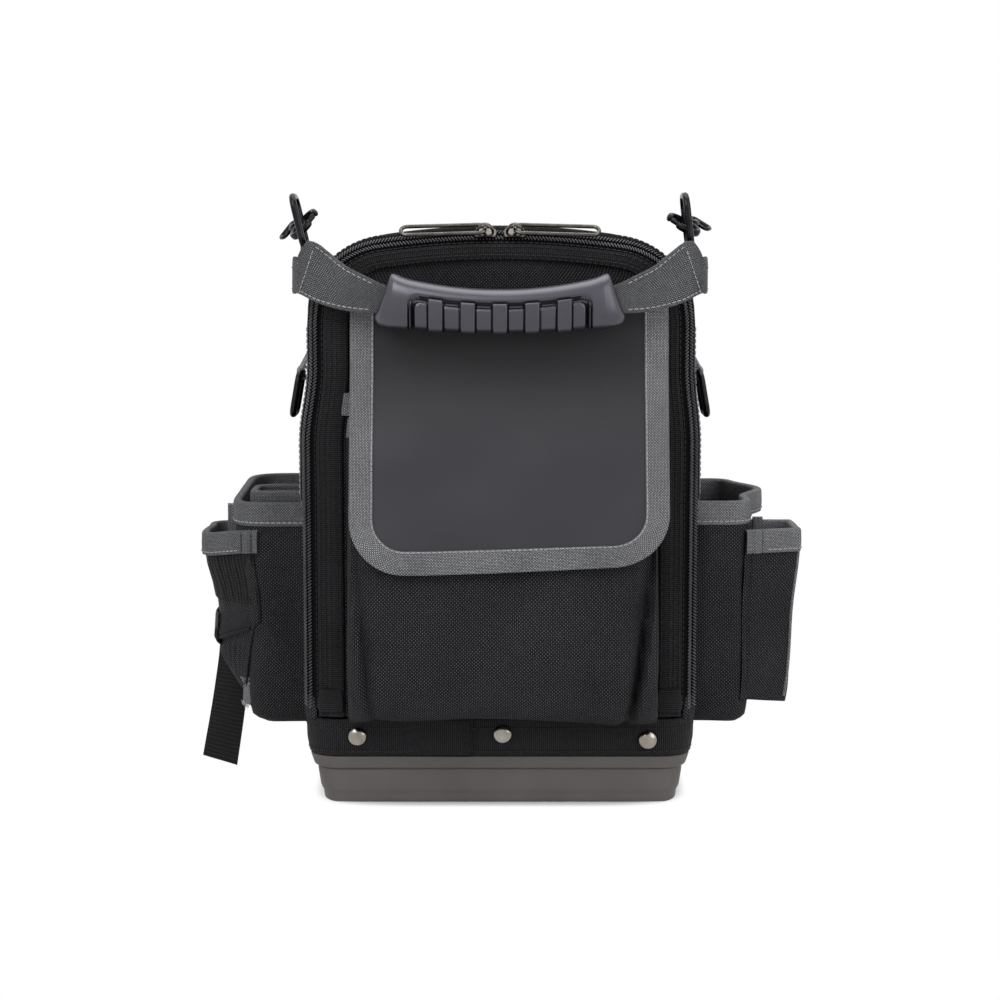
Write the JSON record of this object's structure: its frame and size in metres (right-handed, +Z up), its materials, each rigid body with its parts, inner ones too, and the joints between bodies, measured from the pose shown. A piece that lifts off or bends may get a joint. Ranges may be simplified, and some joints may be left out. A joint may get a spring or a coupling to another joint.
{
  "type": "zippered tool bag",
  "caption": "Upright tool bag with a moulded base, zipped fold-down front door, flapped front pocket, side holster pockets, webbing handle with moulded grip, and snap hooks.",
  "frame": {"origin": "on the ground, under the middle of the moulded base", "axes": "+X to the right seen from the front, -Y out of the front, +Z up"},
  "size_m": [0.3619, 0.2209, 0.3566],
  "materials": {
    "moulded_base": "matte, fine moulded grain",
    "ballistic_fabric": "matte basket weave",
    "black_webbing": "matte, ribbed",
    "grey_webbing": "matte, ribbed",
    "coated_fabric": "satin, smooth coated",
    "lining": "matte",
    "grip_rubber": "satin",
    "black_metal": "gloss black",
    "nickel": "bright nickel",
    "zip_coil": "satin nylon coil"
  },
  "bodies": {
    "body": {"base_tub": "moulded_base", "base_skirt": "black_webbing", "rivet_front_left": "nickel", "rivet_front_middle": "nickel", "rivet_front_right": "nickel", "rivet_back_left": "nickel", "rivet_back_middle": "nickel", "rivet_back_right": "nickel", "body_shell": "ballistic_fabric", "boot_band": "lining", "boot_tray": "lining", "floor_board": "lining", "back_panel": "ballistic_fabric", "tool_panel": "lining", "tool_tier_lower": "lining", "tool_tier_upper": "lining", "zip_half_body": "zip_coil", "handle_anchor_left": "grey_webbing", "handle_anchor_right": "grey_webbing", "side_tab_left": "grey_webbing", "side_tab_right": "grey_webbing", "left_pocket": "ballistic_fabric", "left_pocket_binding": "grey_webbing", "left_sleeve": "ballistic_fabric", "left_sleeve_binding": "grey_webbing", "left_holster": "ballistic_fabric", "left_holster_binding": "grey_webbing", "cinch_strap": "black_webbing", "right_pocket": "ballistic_fabric", "right_pocket_binding": "grey_webbing", "right_sheath": "ballistic_fabric", "right_sheath_binding": "grey_webbing"},
    "door": {"door_panel": "ballistic_fabric", "door_band": "black_webbing", "zip_half_door": "zip_coil", "front_pocket": "ballistic_fabric", "flap_root": "coated_fabric"},
    "flap": {"flap_panel": "coated_fabric", "flap_binding": "grey_webbing"},
    "handle": {"handle_strap": "grey_webbing", "handle_grip": "grip_rubber"},
    "tail": {"strap_tail": "black_webbing"},
    "ring_left": {"corner_ring_left": "black_metal"},
    "hook_left": {"snap_hook_left": "black_metal"},
    "gate_left": {"hook_gate_left": "black_metal"},
    "swivel_left": {"hook_swivel_left": "black_metal"},
    "side_ring_left": {"side_ring_left": "black_metal"},
    "slider_left": {"zip_slider_left": "nickel"},
    "puller_left": {"zip_puller_left": "nickel"},
    "ring_right": {"corner_ring_right": "black_metal"},
    "hook_right": {"snap_hook_right": "black_metal"},
    "gate_right": {"hook_gate_right": "black_metal"},
    "swivel_right": {"hook_swivel_right": "black_metal"},
    "side_ring_right": {"side_ring_right": "black_metal"},
    "slider_right": {"zip_slider_right": "nickel"},
    "puller_right": {"zip_puller_right": "nickel"}
  },
  "joints": [
    {"name": "door_hinge", "type": "hinge", "parent": "body", "child": "door", "pos_m": [0, -0.0882, 0.0506], "axis": [1, 0, 0], "range_deg": [0, 90]},
    {"name": "flap_hinge", "type": "hinge", "parent": "door", "child": "flap", "pos_m": [0, -0.0969, 0.2678], "axis": [-1, 0, 0], "range_deg": [0, 90]},
    {"name": "handle_swing", "type": "hinge", "parent": "body", "child": "handle", "pos_m": [0, -0.06, 0.3108], "axis": [-1, 0, 0], "range_deg": [0, 150], "deforming": ["handle_strap"]},
    {"name": "corner_ring_swing_left", "type": "hinge", "parent": "body", "child": "ring_left", "pos_m": [-0.1129, -0.06, 0.3248], "axis": [0, 1, 0], "range_deg": [-30, 30]},
    {"name": "snap_hook_turn_left", "type": "hinge", "parent": "ring_left", "child": "hook_left", "pos_m": [-0.11594, -0.048, 0.33795], "axis": [-0.225, 0, 0.9744], "range_deg": [-45, 45]},
    {"name": "hook_gate_open_left", "type": "hinge", "parent": "hook_left", "child": "gate_left", "pos_m": [-0.10915, -0.05219, 0.34296], "axis": [0.678, 0.2939, -0.6738], "range_deg": [0, 25], "stiffness_Nm_per_rad": 0.02, "springref_deg": -20.05},
    {"name": "hook_swivel_turn_left", "type": "hinge", "parent": "hook_left", "child": "swivel_left", "pos_m": [-0.12087, -0.04061, 0.33621], "axis": [-0.4872, 0.866, -0.1125], "continuous": true},
    {"name": "side_ring_swing_left", "type": "hinge", "parent": "body", "child": "side_ring_left", "pos_m": [-0.1199, -0.02, 0.2498], "axis": [0, 1, 0], "range_deg": [-12, 95]},
    {"name": "zip_slider_run_left", "type": "hinge", "parent": "body", "child": "slider_left", "pos_m": [0, -0.0775, 0.0268], "axis": [0, -1, 0], "range_deg": [0, 8]},
    {"name": "zip_puller_flip_left", "type": "hinge", "parent": "slider_left", "child": "puller_left", "pos_m": [-0.00861, -0.08032, 0.33492], "axis": [-0.0183, 0.7547, 0.6558], "range_deg": [0, 150]},
    {"name": "corner_ring_swing_right", "type": "hinge", "parent": "body", "child": "ring_right", "pos_m": [0.1104, -0.06, 0.3248], "axis": [0, 1, 0], "range_deg": [-20, 30]},
    {"name": "snap_hook_turn_right", "type": "hinge", "parent": "ring_right", "child": "hook_right", "pos_m": [0.10876, -0.048, 0.3382], "axis": [-0.1219, 0, 0.9925], "range_deg": [-45, 45]},
    {"name": "hook_gate_open_right", "type": "hinge", "parent": "hook_right", "child": "gate_right", "pos_m": [0.10066, -0.05219, 0.34058], "axis": [0.4066, -0.2939, 0.865], "range_deg": [0, 25], "stiffness_Nm_per_rad": 0.02, "springref_deg": -20.05},
    {"name": "hook_swivel_turn_right", "type": "hinge", "parent": "hook_right", "child": "swivel_right", "pos_m": [0.11399, -0.04061, 0.33825], "axis": [0.4963, 0.866, 0.0609], "continuous": true},
    {"name": "side_ring_swing_right", "type": "hinge", "parent": "body", "child": "side_ring_right", "pos_m": [0.1199, -0.02, 0.2498], "axis": [0, -1, 0], "range_deg": [-12, 95]},
    {"name": "zip_slider_run_right", "type": "hinge", "parent": "body", "child": "slider_right", "pos_m": [0, -0.0775, 0.0268], "axis": [0, 1, 0], "range_deg": [0, 8]},
    {"name": "zip_puller_flip_right", "type": "hinge", "parent": "slider_right", "child": "puller_right", "pos_m": [0.00861, -0.08032, 0.33492], "axis": [-0.0183, -0.7547, -0.6558], "range_deg": [0, 150]},
    {"name": "strap_tail_swing", "type": "hinge", "parent": "body", "child": "tail", "pos_m": [-0.1658, 0.025, 0.097], "axis": [1, 0, 0], "range_deg": [0, 50]}
  ]
}
